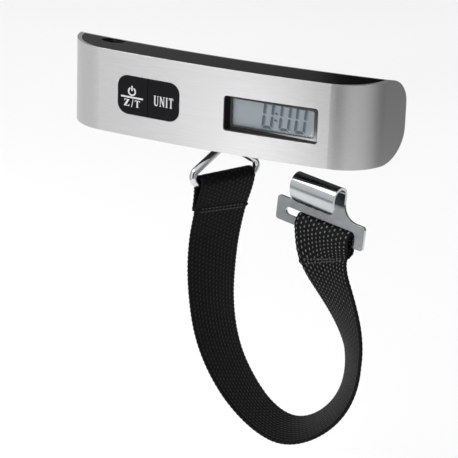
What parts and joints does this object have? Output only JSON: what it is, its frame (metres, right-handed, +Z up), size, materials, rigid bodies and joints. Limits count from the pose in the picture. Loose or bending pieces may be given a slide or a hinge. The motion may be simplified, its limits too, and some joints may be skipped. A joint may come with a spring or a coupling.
{
  "type": "digital luggage scale",
  "caption": "Hand-held hanging scale: curved grip bar with a display and buttons, a swivelling ring below it, and a looped webbing strap that ends in a sheet-steel latch hook.",
  "frame": {"origin": "middle of the grip bar: mid length and mid height, 8.3 mm behind the front face", "axes": "+X along the grip bar to the display end, -Y out of the display face, +Z up, away from the strap"},
  "size_m": [0.133, 0.0303, 0.1438],
  "materials": {
    "cover_metal": "fine lengthwise brushing, satin",
    "black_plastic": "fine moulded texture, satin",
    "bezel_plastic": "smooth black",
    "button_plastic": "smooth satin black with pale printed marks",
    "clear_window": "clear polished",
    "display_glass": "pale grey display with dark segments",
    "zebra_rubber": "matte",
    "switch_plastic": "matte",
    "board_laminate": "solder mask",
    "potting_resin": "cast",
    "screw_steel": "zinc plated",
    "battery_steel": "satin",
    "contact_brass": "plated",
    "load_cell_aluminium": "milled",
    "gauge_foil": "foil on film",
    "plate_steel": "zinc plated",
    "stud_steel": "bright plated",
    "ring_chrome": "polished",
    "hook_chrome": "bright nickel plated sheet steel",
    "black_webbing": "coarse woven webbing"
  },
  "bodies": {
    "housing": {"front_shell": "cover_metal", "inner_frame": "black_plastic", "rear_housing": "black_plastic", "battery_cell": "battery_steel", "battery_holder": "black_plastic", "battery_contact_negative": "contact_brass", "battery_contact_positive": "contact_brass", "lcd_bezel": "bezel_plastic", "lcd_lens": "clear_window", "lcd_panel": "display_glass", "zebra_connector": "zebra_rubber", "power_switch": "switch_plastic", "unit_switch": "switch_plastic", "circuit_board": "board_laminate", "controller_chip": "potting_resin", "board_screws": "screw_steel", "case_screws": "screw_steel", "load_cell": "load_cell_aluminium", "strain_gauges": "gauge_foil", "load_plate": "plate_steel", "load_cell_screws": "screw_steel", "bottom_collar": "bezel_plastic"},
    "door": {"battery_door": "black_plastic"},
    "power_key": {"power_button": "button_plastic"},
    "unit_key": {"unit_button": "button_plastic"},
    "swivel": {"pull_stud": "stud_steel", "stud_washer": "stud_steel", "stud_nut": "stud_steel"},
    "wire_ring": {"ring": "ring_chrome"},
    "strap_upper": {"strap_ring_side": "black_webbing"},
    "strap_lower": {"strap_hook_side": "black_webbing"},
    "hook": {"latch_hook": "hook_chrome"}
  },
  "joints": [
    {"name": "power_press", "type": "slide", "parent": "housing", "child": "power_key", "axis": [0, 1, 0], "range_m": [0, 0.0005], "stiffness_N_per_m": 1500},
    {"name": "unit_press", "type": "slide", "parent": "housing", "child": "unit_key", "axis": [0, 1, 0], "range_m": [0, 0.0005], "stiffness_N_per_m": 1500},
    {"name": "battery_door_off", "type": "slide", "parent": "housing", "child": "door", "axis": [0, 1, 0], "range_m": [0, 0.02]},
    {"name": "stud_swivel", "type": "hinge", "parent": "housing", "child": "swivel", "pos_m": [0.0016, 0.004, -0.004], "axis": [0, 0, 1], "continuous": true},
    {"name": "ring_swing", "type": "hinge", "parent": "swivel", "child": "wire_ring", "pos_m": [0.0016, 0.004, -0.0168], "axis": [0.4695, 0.8829, 0], "range_deg": [-5, 45]},
    {"name": "strap_swing", "type": "hinge", "parent": "wire_ring", "child": "strap_upper", "pos_m": [0.0016, 0.004, -0.0303], "axis": [0.4695, 0.8829, 0], "range_deg": [-5, 40]},
    {"name": "strap_bend", "type": "hinge", "parent": "strap_upper", "child": "strap_lower", "pos_m": [0.031, 0.004, -0.127], "axis": [0, 1, 0], "range_deg": [-5, 90]},
    {"name": "hook_tilt", "type": "hinge", "parent": "strap_lower", "child": "hook", "pos_m": [0.041, 0.004, -0.044], "axis": [0.9666, -0.241, -0.0872], "range_deg": [-75, 75]}
  ]
}
